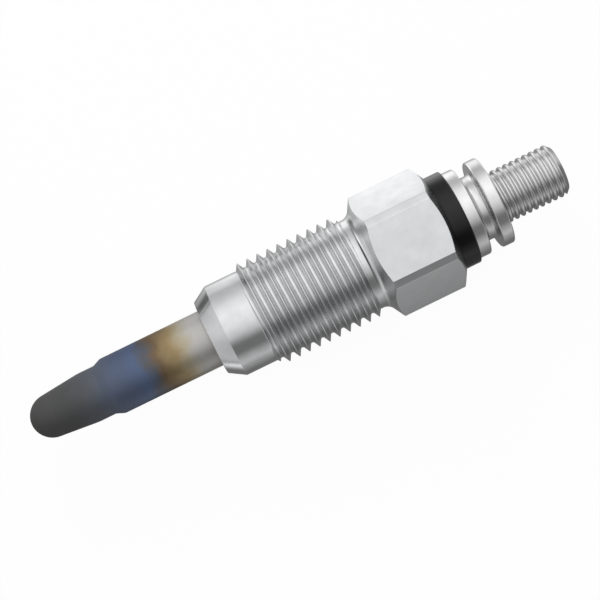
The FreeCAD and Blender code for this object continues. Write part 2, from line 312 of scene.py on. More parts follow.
SOOT = (0.03, 0.03, 0.0285)
ASH = (0.044, 0.045, 0.045)
SLATE = (0.068, 0.076, 0.091)
STEEL_BLUE = (0.077, 0.097, 0.147)
DEEP_BLUE = (0.075, 0.106, 0.19)
GREY_GREEN = (0.084, 0.087, 0.1)
BROWN = (0.135, 0.09, 0.048)
GOLD = (0.27, 0.2, 0.1)
STRAW = (0.36, 0.32, 0.235)
BARE_ALLOY = (0.395, 0.385, 0.372)
TEMPER_COLOURS = (
    (-23.2, SOOT),
    (-18.4, ASH),
    (-15.6, SLATE),
    (-13.0, STEEL_BLUE),
    (-9.9, DEEP_BLUE),
    (-8.8, GREY_GREEN),
    (-7.7, BROWN),
    (-5.8, GOLD),
    (-4.5, STRAW),
    (-3.4, BARE_ALLOY),
)
TINT_PATCHES = 3.2
TINT_STREAKS = (0.93, 1.04)
SHEATH_CHANGES = (
    ("Metallic", -20, -12, 0, 0.6),
    ("Roughness", -19, -4, 0.7, 0.36),
)


def sheath_finish():
    """Alloy tinted by heat, matt with soot at the tip and bare towards the body. Colours and changes
    go by x in mm, which clouds shift to and fro."""
    material, tree, shader = new_material("heat_tinted_alloy")
    marks = place_group(tree, lathe_marks, Ring_Width=0.09, Cloud_Size=2.6)
    off_middle = math_node(tree, "SUBTRACT", marks.outputs["Cloud"], 0.5)
    patchy = math_node(tree, "MULTIPLY", off_middle, TINT_PATCHES)
    x = math_node(tree, "DIVIDE", split(tree, object_place(tree))["X"], MM)
    heat = math_node(tree, "ADD", x, patchy)
    streaks = between(tree, marks.outputs["Lines"], *TINT_STREAKS)
    tint = scaled(tree, ramp_colours(tree, heat, TEMPER_COLOURS), streaks)
    tree.links.new(tint, shader.inputs["Base Color"])
    for label, first, last, low, high in SHEATH_CHANGES:
        tree.links.new(map_range(tree, heat, first, last, low, high), shader.inputs[label])
    add_bump(tree, shader, marks.outputs["Lines"], depth=0.006, strength=0.5)
    return material


TIP_RADIUS = 2.42
TIP_TAPER = math.radians(5.6)
SLIM_RADIUS = 2.85
SLIM_LENGTH = 2.0
SHOULDER_LENGTH = 0.95
TUBE_WALL = 0.55
TIP_WALL = 1.4
tip, tube_rear, tube_radius = extent("glow_tube")
dome_side = TIP_RADIUS * math.tan((math.pi / 2 - TIP_TAPER) / 2)
dome_end = tip + TIP_RADIUS * (1 - math.sin(TIP_TAPER))
taper_end = tip + (SLIM_RADIUS - dome_side) / math.tan(TIP_TAPER)
slim_end = taper_end + SLIM_LENGTH
shoulder_end = slim_end + SHOULDER_LENGTH
tip_bore = TIP_RADIUS * math.cos(TIP_TAPER) - TUBE_WALL

sheath = lathe(
    "sheath",
    [
        (tip, 0, 0),
        (tip, dome_side, TIP_RADIUS),
        (taper_end, SLIM_RADIUS, 4),
        (slim_end, SLIM_RADIUS, 0.5),
        (shoulder_end, tube_radius, 0.6),
        (tube_rear, tube_radius, 0.1),
        (tube_rear, tube_radius - TUBE_WALL, 0.1),
        (shoulder_end, tube_radius - TUBE_WALL, 1),
        (slim_end, SLIM_RADIUS - TUBE_WALL, 1),
        (dome_end, tip_bore, 0.3),
        (tip + TIP_WALL, tip_bore, 0.3),
        (tip + TIP_WALL, 0, 0),
    ],
)
finish_piece(sheath, "glow_tube", "sheath_alloy", sheath_finish())


# The heating coil and the regulating coil behind it: round resistance wire wound on one mandrel. The
# first is welded into the tip, and the last turns of the second grip the stud's nose.
WIRE = 0.4
WIRE_SIDES = 16
COIL_STEPS = 48
POWDER_WALL = 0.4
LEAD_LENGTH = 0.8
HEATING_LENGTH = 6.0
HEATING_TURNS = 5
REGULATING_TURNS = 6
WIRE_SMOOTH_ANGLE = 40
WIRE_LIGHT = (0.34, 0.31, 0.28)
WIRE_DARK = (0.2, 0.19, 0.19)
WIRE_ROUGHNESS = (0.35, 0.5)
coil_radius = tip_bore - POWDER_WALL - WIRE / 2
coil_start = tip + TIP_WALL + LEAD_LENGTH
coils_meet = coil_start + HEATING_LENGTH
coil_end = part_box("regulating_coil")[1].x / MM - WIRE / 2


def wind_coil(name, start, end, turns):
    """A closed coil of round wire, whose ends lie on the +Y side."""
    bpy.ops.mesh.primitive_circle_add(
        vertices=WIRE_SIDES,
        radius=WIRE / 2 * MM,
        location=(start * MM, coil_radius * MM, 0),
    )
    coil = bpy.context.object
    coil.name = coil.data.name = name
    bpy.ops.object.transform_apply(location=True)
    screw = coil.modifiers.new("screw", "SCREW")
    screw.axis = "X"
    screw.steps = screw.render_steps = COIL_STEPS
    screw.screw_offset = (end - start) / turns * MM
    screw.iterations = turns
    bpy.ops.object.modifier_apply(modifier="screw")
    bpy.ops.object.mode_set(mode="EDIT")
    bpy.ops.mesh.select_all(action="DESELECT")
    bpy.ops.mesh.select_mode(type="EDGE")
    bpy.ops.mesh.select_non_manifold()
    bpy.ops.mesh.edge_face_add()
    bpy.ops.object.mode_set(mode="OBJECT")
    close_up(coil)
    return coil


def mix_colours(tree, share, first, second):
    """Mixes two colours, each a socket or a colour, by a share."""
    node = tree.nodes.new("ShaderNodeMix")
    node.data_type = "RGBA"
    tree.links.new(share, node.inputs["Factor"])
    for socket, source in ((node.inputs["A"], first), (node.inputs["B"], second)):
        feed(tree, socket, (*source, 1) if isinstance(source, tuple) else source)
    return node.outputs["Result"]


def drifting(tree, marks, first, second):
    """A colour that drifts between two with the clouds."""
    return mix_colours(tree, between(tree, marks.outputs["Cloud"], 0, 1), first, second)


def wire_finish():
    """Annealed wire, with patches of dark oxide."""
    material, tree, shader = new_material("annealed_wire")
    marks = place_group(tree, lathe_marks, Ring_Width=0.4, Cloud_Size=0.5)
    tree.links.new(drifting(tree, marks, WIRE_LIGHT, WIRE_DARK), shader.inputs["Base Color"])
    shader.inputs["Metallic"].default_value = 1
    tree.links.new(between(tree, marks.outputs["Lines"], *WIRE_ROUGHNESS), shader.inputs["Roughness"])
    add_bump(tree, shader, marks.outputs["Cloud"], depth=0.01, strength=0.4)
    return material


def add_cylinder(name, start, end, radius, y):
    """A thin cylinder beside the axis and parallel to it."""
    bpy.ops.mesh.primitive_cylinder_add(
        vertices=WIRE_SIDES,
        radius=radius * MM,
        depth=(end - start) * MM,
        location=((start + end) / 2 * MM, y * MM, 0),
        rotation=(0, math.pi / 2, 0),
    )
    cylinder = bpy.context.object
    cylinder.name = name
    bpy.ops.object.transform_apply(location=True, rotation=True)
    return cylinder


def combine(piece, tool, operation):
    """Adds a tool to a piece or cuts it out, and removes the tool."""
    change = piece.modifiers.new("change", "BOOLEAN")
    change.operation = operation
    change.solver = "EXACT"
    change.object = tool
    select_only(piece)
    bpy.ops.object.modifier_apply(modifier="change")
    bpy.data.objects.remove(tool)


annealed_wire = wire_finish()
heating_coil = wind_coil("wound_heating_coil", coil_start, coils_meet, HEATING_TURNS)
lead = add_cylinder("lead", tip + TIP_WALL, coil_start + WIRE / 2, WIRE / 2, coil_radius)
combine(heating_coil, lead, "UNION")
regulating_coil = wind_coil("wound_regulating_coil", coils_meet, coil_end, REGULATING_TURNS)
for coil, node in ((heating_coil, "heating_coil"), (regulating_coil, "regulating_coil")):
    finish_piece(coil, node, "resistance_wire", annealed_wire, smooth=WIRE_SMOOTH_ANGLE)


# The filling: magnesia powder, poured round the coils and pressed hard when the tube is swaged. The
# coils lie in a ring-shaped channel of it.
NOSE_LENGTH = 3.7
ROD_RADIUS = 1.6
FIT = 0.02
CORE_SIDES = 10
GRAIN_SCALE = 9000
GRAIN_DETAIL = 4
POWDER_LIGHT = (0.78, 0.77, 0.74)
POWDER_DARK = (0.62, 0.61, 0.58)
POWDER_ROUGHNESS = 0.9
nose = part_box("terminal_stud")[0].x / MM
nose_end = nose + NOSE_LENGTH
seal_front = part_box("tube_seal")[0].x / MM
core_radius = (coil_radius - WIRE / 2) * math.cos(math.pi / CORE_SIDES) - FIT / 2
channel_radius = coil_radius + WIRE / 2 + FIT / 2
channel_start = coil_start - WIRE / 2 - FIT
channel_end = coil_end + WIRE / 2 + FIT


def powder_finish():
    """Pressed white powder, matt and grainy."""
    material, tree, shader = new_material("pressed_powder")
    grain = add_noise(tree, object_place(tree), GRAIN_SCALE, GRAIN_DETAIL).outputs["Fac"]
    colour = mix_colours(tree, between(tree, grain, 0, 1), POWDER_LIGHT, POWDER_DARK)
    tree.links.new(colour, shader.inputs["Base Color"])
    shader.inputs["Roughness"].default_value = POWDER_ROUGHNESS
    add_bump(tree, shader, grain, depth=0.03)
    return material


powder = lathe(
    "packed_powder",
    [
        (tip + TIP_WALL, 0, 0),
        (tip + TIP_WALL, tip_bore - FIT, 0),
        (dome_end, tip_bore - FIT, 0),
        (slim_end, SLIM_RADIUS - TUBE_WALL - FIT, 0),
        (shoulder_end, tube_radius - TUBE_WALL - FIT, 0),
        (seal_front, tube_radius - TUBE_WALL - FIT, 0),
        (seal_front, ROD_RADIUS + FIT, 0),
        (nose_end - FIT, ROD_RADIUS + FIT, 0),
        (nose_end - FIT, core_radius, 0),
        (channel_end, core_radius, 0),
        (channel_end, channel_radius, 0),
        (channel_start, channel_radius, 0),
        (channel_start, core_radius, 0),
        (nose, core_radius, 0),
        (nose, 0, 0),
    ],
)
combine(powder, add_cylinder("lead_hole", tip, coil_start, WIRE / 2 + FIT, coil_radius), "DIFFERENCE")
finish_piece(powder, "magnesia_filling", "magnesia", powder_finish())


# The seals: a bush of soft rubber that closes the rear of the glow tube round the rod, and a ring of
# the same rubber in the body's pocket. Both are pressed in.
TERMINAL_MAJOR = 6.0
TERMINAL_PITCH = 0.75
PITCH_LINE_DEPTH = 0.3248
RUBBER_LIGHT = (0.36, 0.09, 0.05)
RUBBER_DARK = (0.3, 0.075, 0.042)
RUBBER_ROUGHNESS = (0.6, 0.8)
land_radius = TERMINAL_MAJOR / 2 - PITCH_LINE_DEPTH * TERMINAL_PITCH


def rubber_finish():
    """Smooth soft rubber."""
    material, tree, shader = new_material("red_rubber")
    marks = place_group(tree, lathe_marks, Ring_Width=0.2, Cloud_Size=0.4)
    tree.links.new(drifting(tree, marks, RUBBER_LIGHT, RUBBER_DARK), shader.inputs["Base Color"])
    tree.links.new(between(tree, marks.outputs["Cloud"], *RUBBER_ROUGHNESS), shader.inputs["Roughness"])
    add_bump(tree, shader, marks.outputs["Cloud"], depth=0.02, strength=0.5)
    return material


def press_ring(name, node, bore, material):
    """A rubber ring with rounded edges, of the size of its node."""
    start, end, radius = extent(node)
    ring = lathe(
        name,
        [
            (start, bore, 0),
            (start, radius, 0.15),
            (end, radius, 0.15),
            (end, bore, 0.1),
            (start, bore, 0),
        ],
    )
    finish_piece(ring, node, "seal_rubber", material)


red_rubber = rubber_finish()
press_ring("rear_bush", "tube_seal", ROD_RADIUS + FIT, red_rubber)
press_ring("pocket_ring", "stud_seal", land_radius + FIT, red_rubber)


# The threaded body: free-cutting steel, turned from hexagon bar, bored through and plated with bright
# zinc. It has a sealing cone, a smooth pilot, a rolled thread, a neck with a fillet and the hexagon,
# whose corners are turned off.
THREAD_MAJOR = 12.0
THREAD_PITCH = 1.205
THREAD_CREST = 10.55
THREAD_PROFILE = {
    "depth": 0.6134,
    "crest": 1 / 14,
    "root": 1 / 4,
    "crest_rounding": 0.03,
    "root_rounding": 0.17,
}
FLANK_RISE = 0.25
FLANK_CUTS = 4
TURNS_AHEAD = 1.5
TURNS_SPARE = 4
THREAD_MERGE = 0.0001
JOINT_MERGE = 0.0005


def radius_at(x, limits):
    """The radius at x of a line through corners (x, radius)."""
    for (x0, r0), (x1, r1) in zip(limits, limits[1:]):
        if x0 <= x <= x1:
            radius = r0 + (r1 - r0) * (x - x0) / (x1 - x0)
    return radius


def roll_thread(name, major, pitch, profile, crest_at, limits):
    """A right-handed thread, kept under limits, which are (x, radius) corners along the axis. Its
    profile is in shares of the pitch, and one crest lies at crest_at on the side that faces up. It is
    wound longer than it has to be, and what lies beyond the ends or the limits is pulled back."""
    top, root = major / 2, major / 2 - profile["depth"] * pitch
    half_crest, half_root = pitch * profile["crest"] / 2, pitch * profile["root"] / 2
    crest_rounding, root_rounding = pitch * profile["crest_rounding"], pitch * profile["root_rounding"]
    start, end = limits[0][0], limits[-1][0]
    middle = crest_at - pitch * math.ceil((crest_at - start) / pitch + TURNS_AHEAD)
    thread = draw_wire(
        name,
        [
            (middle - pitch / 2, root, 0),
            (middle - pitch / 2 + half_root, root, root_rounding),
            (middle - half_crest, top, crest_rounding),
            (middle + half_crest, top, crest_rounding),
            (middle + pitch / 2 - half_root, root, root_rounding),
            (middle + pitch / 2, root, 0),
        ],
    )
    bpy.ops.object.mode_set(mode="EDIT")
    bpy.ops.mesh.select_all(action="DESELECT")
    bpy.ops.object.mode_set(mode="OBJECT")
    for edge in thread.data.edges:
        low, high = (thread.data.vertices[index].co for index in edge.vertices)
        edge.select = abs(high.z - low.z) > FLANK_RISE * pitch * MM
    bpy.ops.object.mode_set(mode="EDIT")
    bpy.ops.mesh.select_mode(type="EDGE")
    bpy.ops.mesh.subdivide(number_cuts=FLANK_CUTS)
    bpy.ops.object.mode_set(mode="OBJECT")
    screw = thread.modifiers.new("screw", "SCREW")
    screw.axis = "X"
    screw.steps = screw.render_steps = STEPS_ROUND
    screw.screw_offset = pitch * MM
    screw.iterations = math.ceil((end - start) / pitch) + TURNS_SPARE
    screw.use_merge_vertices = True
    screw.merge_threshold = THREAD_MERGE * MM
    bpy.ops.object.modifier_apply(modifier="screw")
    for vertex in thread.data.vertices:
        x = min(max(vertex.co.x / MM, start), end)
        beyond = x != vertex.co.x / MM
        radius = math.hypot(vertex.co.y, vertex.co.z)
        limit = radius_at(x, limits) * MM
        share = limit / radius if beyond or radius > limit else 1
        vertex.co = Vector((x * MM, vertex.co.y * share, vertex.co.z * share))
    return thread


def join(name, pieces):
    """Joins pieces whose open rings meet into one."""
    select_only(pieces[0])
    for piece in pieces[1:]:
        piece.select_set(True)
    bpy.ops.object.join()
    pieces[0].name = pieces[0].data.name = name
    close_up(pieces[0], merge=JOINT_MERGE)
    return pieces[0]


def soft_spot():
    """A round spot that fades from 1 at its centre to 0 at its radius."""
    group, given, result = new_group(
        "soft_spot",
        [
            ("Place", "NodeSocketVector", None),
            ("Centre", "NodeSocketVector", None),
            ("Radius", "NodeSocketFloat", 1),
        ],
        [("Spot", "NodeSocketFloat")],
    )
    apart = vector_node(group, "DISTANCE", given.outputs["Place"], given.outputs["Centre"])
    share = math_node(group, "DIVIDE", apart.outputs["Value"], given.outputs["Radius"])
    group.links.new(map_range(group, share, 1, 0, smooth=True), result.inputs["Spot"])
    return group


spot_group = soft_spot()


def spotted(tree, place, spots):
    """One, changed by soft spots, each (x, y, z, radius, strength)."""
    total = 1
    for *centre, radius, strength in spots:
        spot = place_group(tree, spot_group, Centre=centre, Radius=radius)
        tree.links.new(place, spot.inputs["Place"])
        change = math_node(tree, "MULTIPLY", spot.outputs["Spot"], strength)
        total = math_node(tree, "ADD", change, total)
    return total


PLATE_LIGHT = 0.65
PLATE_DARK = 0.58
ZINC_TONE = (1, 1.01, 1.02)
ZINC_RINGS = 0.07
ZINC_ROUGHNESS = 0.17
RING_CHANGE = (-0.03, 0.05)
CLOUD_CHANGE = (-0.02, 0.03)
# Painted shade (negative strengths) and painted highlights (positive strengths) in the neck's fillet, as
# soft spots (x, y, z, radius, strength) in mm, squeezed along x into narrow rings
PAINTED_SPOT_SQUEEZE = 24
FILLET_PAINTED_SHADE_AND_HIGHLIGHT = (
    (16.82, 4.3, 3.3, 2.8, -0.5),
    (16.93, 4.4, 3.3, 2.8, -0.65),
    (17.04, 4.5, 3.3, 2.8, -0.7),
    (17.15, 4.5, 3.4, 2.6, -0.6),
    (16.72, 2, 4.9, 4.2, -0.75),
    (16.76, -0.6, 5.3, 4.2, -0.7),
    (16.87, 2.5, 4.8, 2.6, 0.5),
    (17.05, -4.6, 2.8, 5, 0.5),
    (17.5, 12, 8, 14, -0.45),
)


def plated_finish(name, ring_width, roughness, tone, painted_spots=()):
    """Plated steel. The spots given are painted shade and painted highlights, soft spots in mm, which
    run round the axis as narrow streaks.
    """
    material, tree, shader = new_material(name)
    marks = place_group(tree, lathe_marks, Ring_Width=ring_width, Cloud_Size=1.8)
    light, dark = (tuple(level * part for part in tone) for level in (PLATE_LIGHT, PLATE_DARK))
    colour = drifting(tree, marks, light, dark)
    # The spots paint shade and highlights into the colour
    if painted_spots:
        squeeze = tree.nodes.new("ShaderNodeMapping")
        squeeze.inputs["Scale"].default_value = (PAINTED_SPOT_SQUEEZE / MM, 1 / MM, 1 / MM)
        tree.links.new(object_place(tree), squeeze.inputs["Vector"])
        streaks = [(x * PAINTED_SPOT_SQUEEZE, *others) for x, *others in painted_spots]
        colour = scaled(tree, colour, spotted(tree, squeeze.outputs["Vector"], streaks))
    tree.links.new(colour, shader.inputs["Base Color"])
    shader.inputs["Metallic"].default_value = 1
    rings = (roughness + change for change in RING_CHANGE)
    lines_rough = between(tree, marks.outputs["Lines"], *rings)
    cloud_rough = between(tree, marks.outputs["Cloud"], *CLOUD_CHANGE)
    tree.links.new(math_node(tree, "ADD", lines_rough, cloud_rough), shader.inputs["Roughness"])
    add_bump(tree, shader, marks.outputs["Lines"], depth=0.004, strength=0.5)
    return material


MILLED_LIGHT = (0.63, 0.638, 0.646)
MILLED_DARK = (0.585, 0.593, 0.6)
MILLED_ROUGHNESS = (0.26, 0.34)


def milled_finish():
    """The zinc on the milled flats of the hexagon, which have no rings and are more matt."""
    material, tree, shader = new_material("milled_zinc")
    marks = place_group(tree, lathe_marks, Ring_Width=0.3, Cloud_Size=1.6)
    tree.links.new(drifting(tree, marks, MILLED_LIGHT, MILLED_DARK), shader.inputs["Base Color"])
    shader.inputs["Metallic"].default_value = 1
    tree.links.new(between(tree, marks.outputs["Cloud"], *MILLED_ROUGHNESS), shader.inputs["Roughness"])
    return material


FRONT_RADIUS = 4.2314
PILOT_RADIUS = 5.31
PILOT_LENGTH = 3.64
THREAD_LENGTH = 12.44
RUN_IN = 0.6
RUN_OUT = 0.5
NECK_RADIUS = 5.233
NECK_LENGTH = 0.997
NECK_FILLET = 1.12
HEXAGON_LENGTH = 7.2
HEXAGON_BEVEL = math.radians(30)
END_RADIUS = 5.58
EDGE_WEAR = 0.012
POCKET_DEPTH = 3.2
SEAL_WIDTH = 1.5
front, body_end, corner_radius = extent("shell")
flat_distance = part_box("shell")[1].z / MM
thread_end = PILOT_LENGTH + THREAD_LENGTH
fillet_corner = thread_end + NECK_LENGTH
hexagon_start = fillet_corner + (corner_radius - NECK_RADIUS) * math.tan(HEXAGON_BEVEL)
hexagon_end = hexagon_start + HEXAGON_LENGTH
tube_bore = tube_radius + FIT
pocket_radius = land_radius + SEAL_WIDTH

pilot = lathe(
    "pilot",
    [
        (thread_end, tube_bore, 0),
        (front, tube_bore, 0.06),
        (front, FRONT_RADIUS, 0.12),
        (0, PILOT_RADIUS, 0.08),
        (PILOT_LENGTH, PILOT_RADIUS, 0),
    ],
)
body_thread = roll_thread(
    "body_thread",
    THREAD_MAJOR,
    THREAD_PITCH,
    THREAD_PROFILE,
    THREAD_CREST,
    [
        (PILOT_LENGTH, PILOT_RADIUS),
        (PILOT_LENGTH + RUN_IN, THREAD_MAJOR / 2),
        (thread_end - RUN_OUT, THREAD_MAJOR / 2),
        (thread_end, NECK_RADIUS),
    ],
)
blank_radius = flat_distance / math.cos(math.pi / 6)
blank_rise = (blank_radius - corner_radius) * math.tan(HEXAGON_BEVEL)
hexagon = lathe(
    "hexagon",
    [
        (thread_end, NECK_RADIUS, 0),
        (fillet_corner, NECK_RADIUS, NECK_FILLET),
        (hexagon_start + blank_rise, blank_radius, 0),
        (hexagon_end - blank_rise, blank_radius, 0),
        (body_end, END_RADIUS, 0),
        (body_end, pocket_radius, 0),
        (body_end - POCKET_DEPTH, pocket_radius, 0),
        (body_end - POCKET_DEPTH, tube_bore, 0),
        (thread_end, tube_bore, 0),
    ],
)
edge_turn = math.acos(flat_distance / corner_radius)
strip_distance = corner_radius * math.cos(math.pi / 6 - edge_turn)
worn_distance = corner_radius * math.cos(edge_turn - math.pi / 12) - EDGE_WEAR
planes = []
for turn in range(0, 360, 60):
    planes += [(turn, flat_distance), (turn + 30, strip_distance)]
    planes += [(turn + 15, worn_distance), (turn - 15, worn_distance)]
bpy.ops.object.mode_set(mode="EDIT")
for turn, distance in planes:
    outward = Vector((0, math.sin(math.radians(turn)), math.cos(math.radians(turn))))
    bpy.ops.mesh.select_all(action="SELECT")
    bpy.ops.mesh.bisect(
        plane_co=outward * distance * MM,
        plane_no=outward,
        use_fill=True,
        clear_outer=True,
        threshold=MERGE_DISTANCE * MM,
    )
bpy.ops.object.mode_set(mode="OBJECT")

MILLED_INDEX = 1
ROLLED_INDEX = 2
FLAT_TILT = 0.02
FLAT_RADIUS = 6.0
threaded_shell = join("threaded_shell", [pilot, body_thread, hexagon])
# The bright zinc carries painted shade and painted highlights in the neck's fillet
finish_piece(
    threaded_shell,
    "shell",
    "plated_steel",
    plated_finish("bright_zinc", ZINC_RINGS, ZINC_ROUGHNESS, ZINC_TONE, FILLET_PAINTED_SHADE_AND_HIGHLIGHT),
    milled_finish(),
    plated_finish("rolled_zinc", ZINC_RINGS, ZINC_ROUGHNESS, ZINC_TONE),
)
for face in threaded_shell.data.polygons:
    x, radius = face.center.x / MM, face.center.yz.length / MM
    if abs(face.normal.x) < FLAT_TILT and x > fillet_corner and radius > FLAT_RADIUS:
        face.material_index = MILLED_INDEX
    elif PILOT_LENGTH < x < thread_end and radius > FRONT_RADIUS:
        face.material_index = ROLLED_INDEX


# The terminal stud: turned steel rod. Its nose holds the coil, its middle runs through the body, and
# its threaded end stands out of the nut for the cable's eyelet.
TERMINAL_THREAD_PITCH = 0.764
TERMINAL_CREST = 36.642
TERMINAL_PROFILE = {
    "depth": 0.42,
    "crest": 0.34,
    "root": 0.18,
    "crest_rounding": 0.28,
    "root_rounding": 0.06,
}
TERMINAL_INSET = 0.2
TERMINAL_RUN_IN = 0.3
TERMINAL_BEVEL = 0.5
SHANK_RADIUS = 2.0
ROD_OVERHANG = 0.6
STEEL_TONE = (0.97, 0.97, 0.97)
stud_end, terminal_radius = extent("terminal_stud")[1:]
nose_radius = core_radius - FIT / 2
seal_floor = body_end - POCKET_DEPTH + FIT
shank_start = tube_rear + ROD_OVERHANG
terminal_start = extent("collar_nut")[1] - TERMINAL_INSET

rod = lathe(
    "rod",
    [
        (nose, 0, 0),
        (nose, nose_radius, 0.1),
        (nose_end, nose_radius, 0),
        (nose_end, ROD_RADIUS, 0.15),
        (shank_start, ROD_RADIUS, 0.2),
        (shank_start, SHANK_RADIUS, 0.15),
        (seal_floor, SHANK_RADIUS, 0.1),
        (seal_floor, land_radius, 0.1),
        (terminal_start, land_radius, 0),
    ],
)
terminal_thread = roll_thread(
    "terminal_thread",
    TERMINAL_MAJOR,
    TERMINAL_THREAD_PITCH,
    TERMINAL_PROFILE,
    TERMINAL_CREST,
    [
        (terminal_start, land_radius),
        (terminal_start + TERMINAL_RUN_IN, terminal_radius),
        (stud_end - TERMINAL_BEVEL, terminal_radius),
        (stud_end, terminal_radius - TERMINAL_BEVEL),
    ],
)
end_face = lathe(
    "end_face",
    [
        (stud_end, terminal_radius - TERMINAL_BEVEL, 0),
        (stud_end, 0, 0),
    ],
)
stud = join("threaded_stud", [rod, terminal_thread, end_face])
turned_steel = plated_finish("stud_steel", ring_width=0.06, roughness=0.22, tone=STEEL_TONE)
finish_piece(stud, "terminal_stud", "stud_steel", turned_steel)


# The insulating washer: black moulded plastic between the body and the nut, with a collar that
# centres it in the body's pocket.
SLIP = 0.1
PLASTIC_LIGHT = (0.0014, 0.0014, 0.0015)
PLASTIC_DARK = (0.0008, 0.0008, 0.0009)
PLASTIC_ROUGHNESS = (0.12, 0.17)
PLASTIC_SPECULAR = 0.31
washer_front, washer_rear, washer_radius = extent("insulating_washer")


def plastic_finish():
    """Black moulded plastic with a soft gloss."""
    material, tree, shader = new_material("black_plastic")
    marks = place_group(tree, lathe_marks, Ring_Width=0.12, Cloud_Size=1.2)
    tree.links.new(drifting(tree, marks, PLASTIC_DARK, PLASTIC_LIGHT), shader.inputs["Base Color"])
    tree.links.new(between(tree, marks.outputs["Cloud"], *PLASTIC_ROUGHNESS), shader.inputs["Roughness"])
    shader.inputs["Specular IOR Level"].default_value = PLASTIC_SPECULAR
    add_bump(tree, shader, marks.outputs["Lines"], depth=0.004, strength=0.3)
    return material


washer = lathe(
    "moulded_washer",
    [
        (washer_front, land_radius + SLIP, 0),
        (washer_front, pocket_radius - SLIP, 0.12),
        (body_end, pocket_radius - SLIP, 0),
        (body_end, washer_radius, 0.06),
        (washer_rear, washer_radius, 0.16),
        (washer_rear, land_radius + SLIP, 0.08),
        (washer_front, land_radius + SLIP, 0),
    ],
)
finish_piece(washer, "insulating_washer", "black_plastic", plastic_finish())


# The collar nut: turned and plated steel, round, with two flanges and a groove between them. It
# clamps the washer, and its mouth is countersunk.
NUT_FLANGE = 1.4
NUT_NECK_RADIUS = 3.72
GROOVE_FILLET = 0.55
FLANGE_EDGE = 0.2
NUT_TONE = (1, 1, 1)
nut_front, nut_rear, nut_radius = extent("collar_nut")
nut_bore = land_radius + FIT
mouth_radius = terminal_radius + SLIP
countersink = mouth_radius - nut_bore

nut = lathe(
    "grooved_nut",
    [
        (nut_front, nut_bore, 0),
        (nut_front, nut_radius, 0.1),
        (nut_front + NUT_FLANGE, nut_radius, FLANGE_EDGE),
        (nut_front + NUT_FLANGE, NUT_NECK_RADIUS, GROOVE_FILLET),
        (nut_rear - NUT_FLANGE, NUT_NECK_RADIUS, GROOVE_FILLET),
        (nut_rear - NUT_FLANGE, nut_radius, FLANGE_EDGE),
        (nut_rear, nut_radius, FLANGE_EDGE),
        (nut_rear, mouth_radius, 0.05),
        (nut_rear - countersink, nut_bore, 0),
        (nut_front, nut_bore, 0),
    ],
)
plated_nut = plated_finish("nut_steel", ring_width=0.07, roughness=0.18, tone=NUT_TONE)
finish_piece(nut, "collar_nut", "nut_steel", plated_nut)


# The studio: a plain white floor under the plug, a soft sky with a wide bright panel on the +Y side
# and a dark band on the other, and the camera above. The floor that the metal mirrors has painted light
# and shade: it is painted brightest beside the plug, towards the panel, as a pool of light, and dark
# under it, as a shadow.
FLOOR_SIZE = 4
FLOOR_GAP = 0.01
FLOOR_WHITE = (0.7, 0.7, 0.7, 1)
BACKGROUND_SHARE = 0.96
# Painted levels of the floor as the metal mirrors it, by y in mm: a painted shadow under the plug and a
# painted pool of light beside it
PAINTED_MIRRORED_FLOOR = (
    (-60, 0.69),
    (-22, 0.385),
    (-12, 0.2),
    (0, 0.2),
    (7, 0.4),
    (12, 1.35),
    (22, 1.05),
    (52, 0.7),
)
# Painted lighter and darker spots on the mirrored floor, (x, y, radius, strength) in mm: painted light
# and painted shade
PAINTED_MIRRORED_SPOTS = (
    (-9.5, 15, 14.5, -0.8),
    (-21, 27, 19, -0.95),
    (-50, 55, 34, -0.8),
    (9.5, 14, 7, -0.7),
    (-14, -20, 13, 2.6),
    (24, 22, 16, 0.45),
)


def grey(level):
    """A grey as a colour."""
    return (level, level, level)


def mix_shaders(tree, share, first, second):
    """Mixes two shaders by a share."""
    node = tree.nodes.new("ShaderNodeMixShader")
    for socket, source in zip(node.inputs, (share, first, second)):
        tree.links.new(source, socket)
    return node.outputs[0]


def floor_finish():
    """White, seen almost evenly bright with the plug's shadow on it. In the metal it shows painted light
    and
    shade: painted levels by y in mm, and painted lighter and darker spots (x, y, radius, strength)."""
    material, tree = new_material("white_floor")[:2]
    tree.nodes.clear()
    output = tree.nodes.new("ShaderNodeOutputMaterial")
    lit = tree.nodes.new("ShaderNodeBsdfDiffuse")
    lit.inputs["Color"].default_value = FLOOR_WHITE
    glow = tree.nodes.new("ShaderNodeEmission")
    painted_mirror_glow = tree.nodes.new("ShaderNodeEmission")
    ray = tree.nodes.new("ShaderNodeLightPath")
    place = object_place(tree)
    across = math_node(tree, "DIVIDE", split(tree, place)["Y"], MM)
    level = ramp_colours(tree, across, tuple((y, grey(value)) for y, value in PAINTED_MIRRORED_FLOOR))
    spots = [(x * MM, y * MM, 0, radius * MM, strength) for x, y, radius, strength in PAINTED_MIRRORED_SPOTS]
    mirrored = math_node(tree, "MULTIPLY", level, spotted(tree, place, spots))
    tree.links.new(mirrored, painted_mirror_glow.inputs["Strength"])
    glow_share = math_node(tree, "MULTIPLY", ray.outputs["Is Camera Ray"], BACKGROUND_SHARE)
    shown = mix_shaders(tree, glow_share, lit.outputs[0], glow.outputs[0])
    # Glossy rays see the painted floor light and shade instead of the lit floor
    seen = mix_shaders(tree, ray.outputs["Is Glossy Ray"], shown, painted_mirror_glow.outputs[0])
    tree.links.new(seen, output.inputs["Surface"])
    return material


bpy.ops.mesh.primitive_grid_add(
    x_subdivisions=4,
    y_subdivisions=4,
    size=FLOOR_SIZE,
    location=(0, 0, cad_low.z - FLOOR_GAP * MM),
)
floor = bpy.context.object
floor.name = "floor"
floor.data.materials.append(floor_finish())

